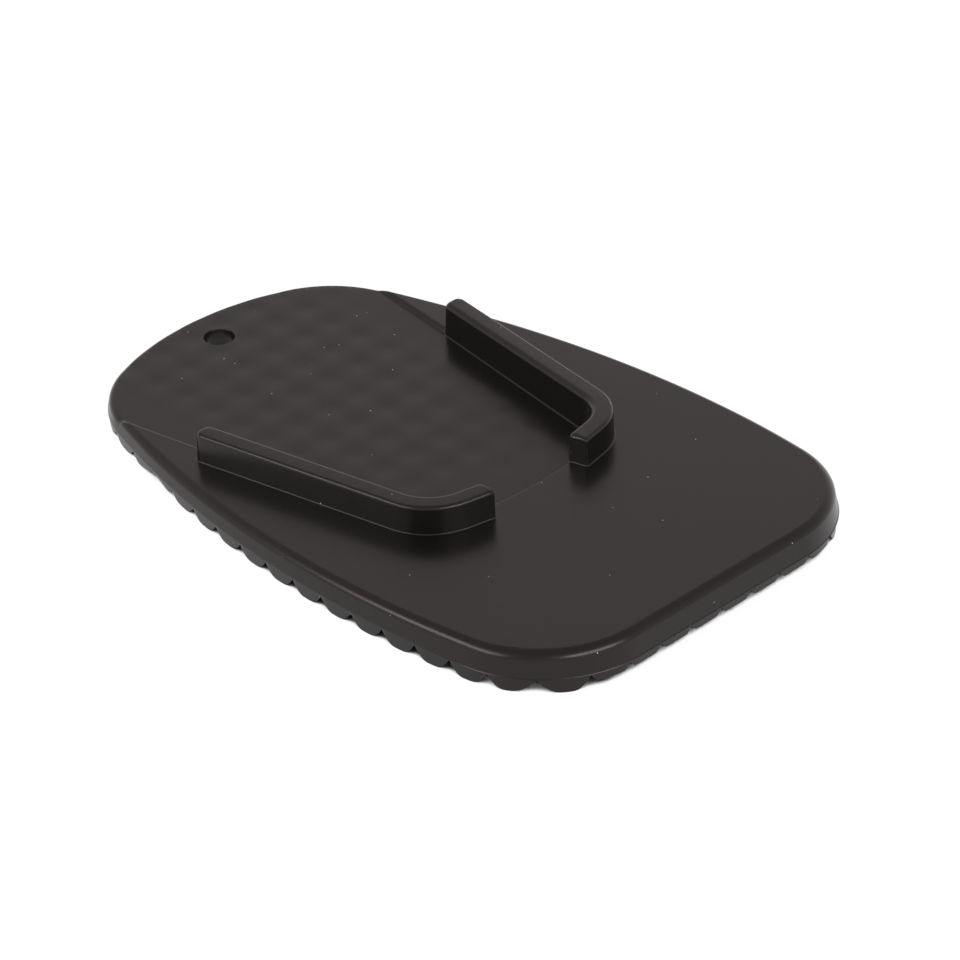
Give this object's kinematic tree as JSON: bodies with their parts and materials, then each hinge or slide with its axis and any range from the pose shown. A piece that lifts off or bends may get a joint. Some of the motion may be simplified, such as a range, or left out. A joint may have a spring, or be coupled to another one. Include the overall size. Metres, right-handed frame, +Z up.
{
  "type": "kickstand foot enlarger",
  "caption": "Moulded plastic pad that spreads a motorbike kickstand's load: a D-shaped wedge plate with a tray between hooked rails, a lanyard hole and a lugged underside.",
  "frame": {"origin": "on the ground, under the middle of the pad's length and width", "axes": "+X along the pad towards its wide end, +Y across it, +Z up from the ground"},
  "size_m": [0.1401, 0.092, 0.0128],
  "materials": {
    "black_plastic": "fine moulded satin"
  },
  "bodies": {
    "root": {"kickstand_pad": "black_plastic"}
  },
  "joints": []
}
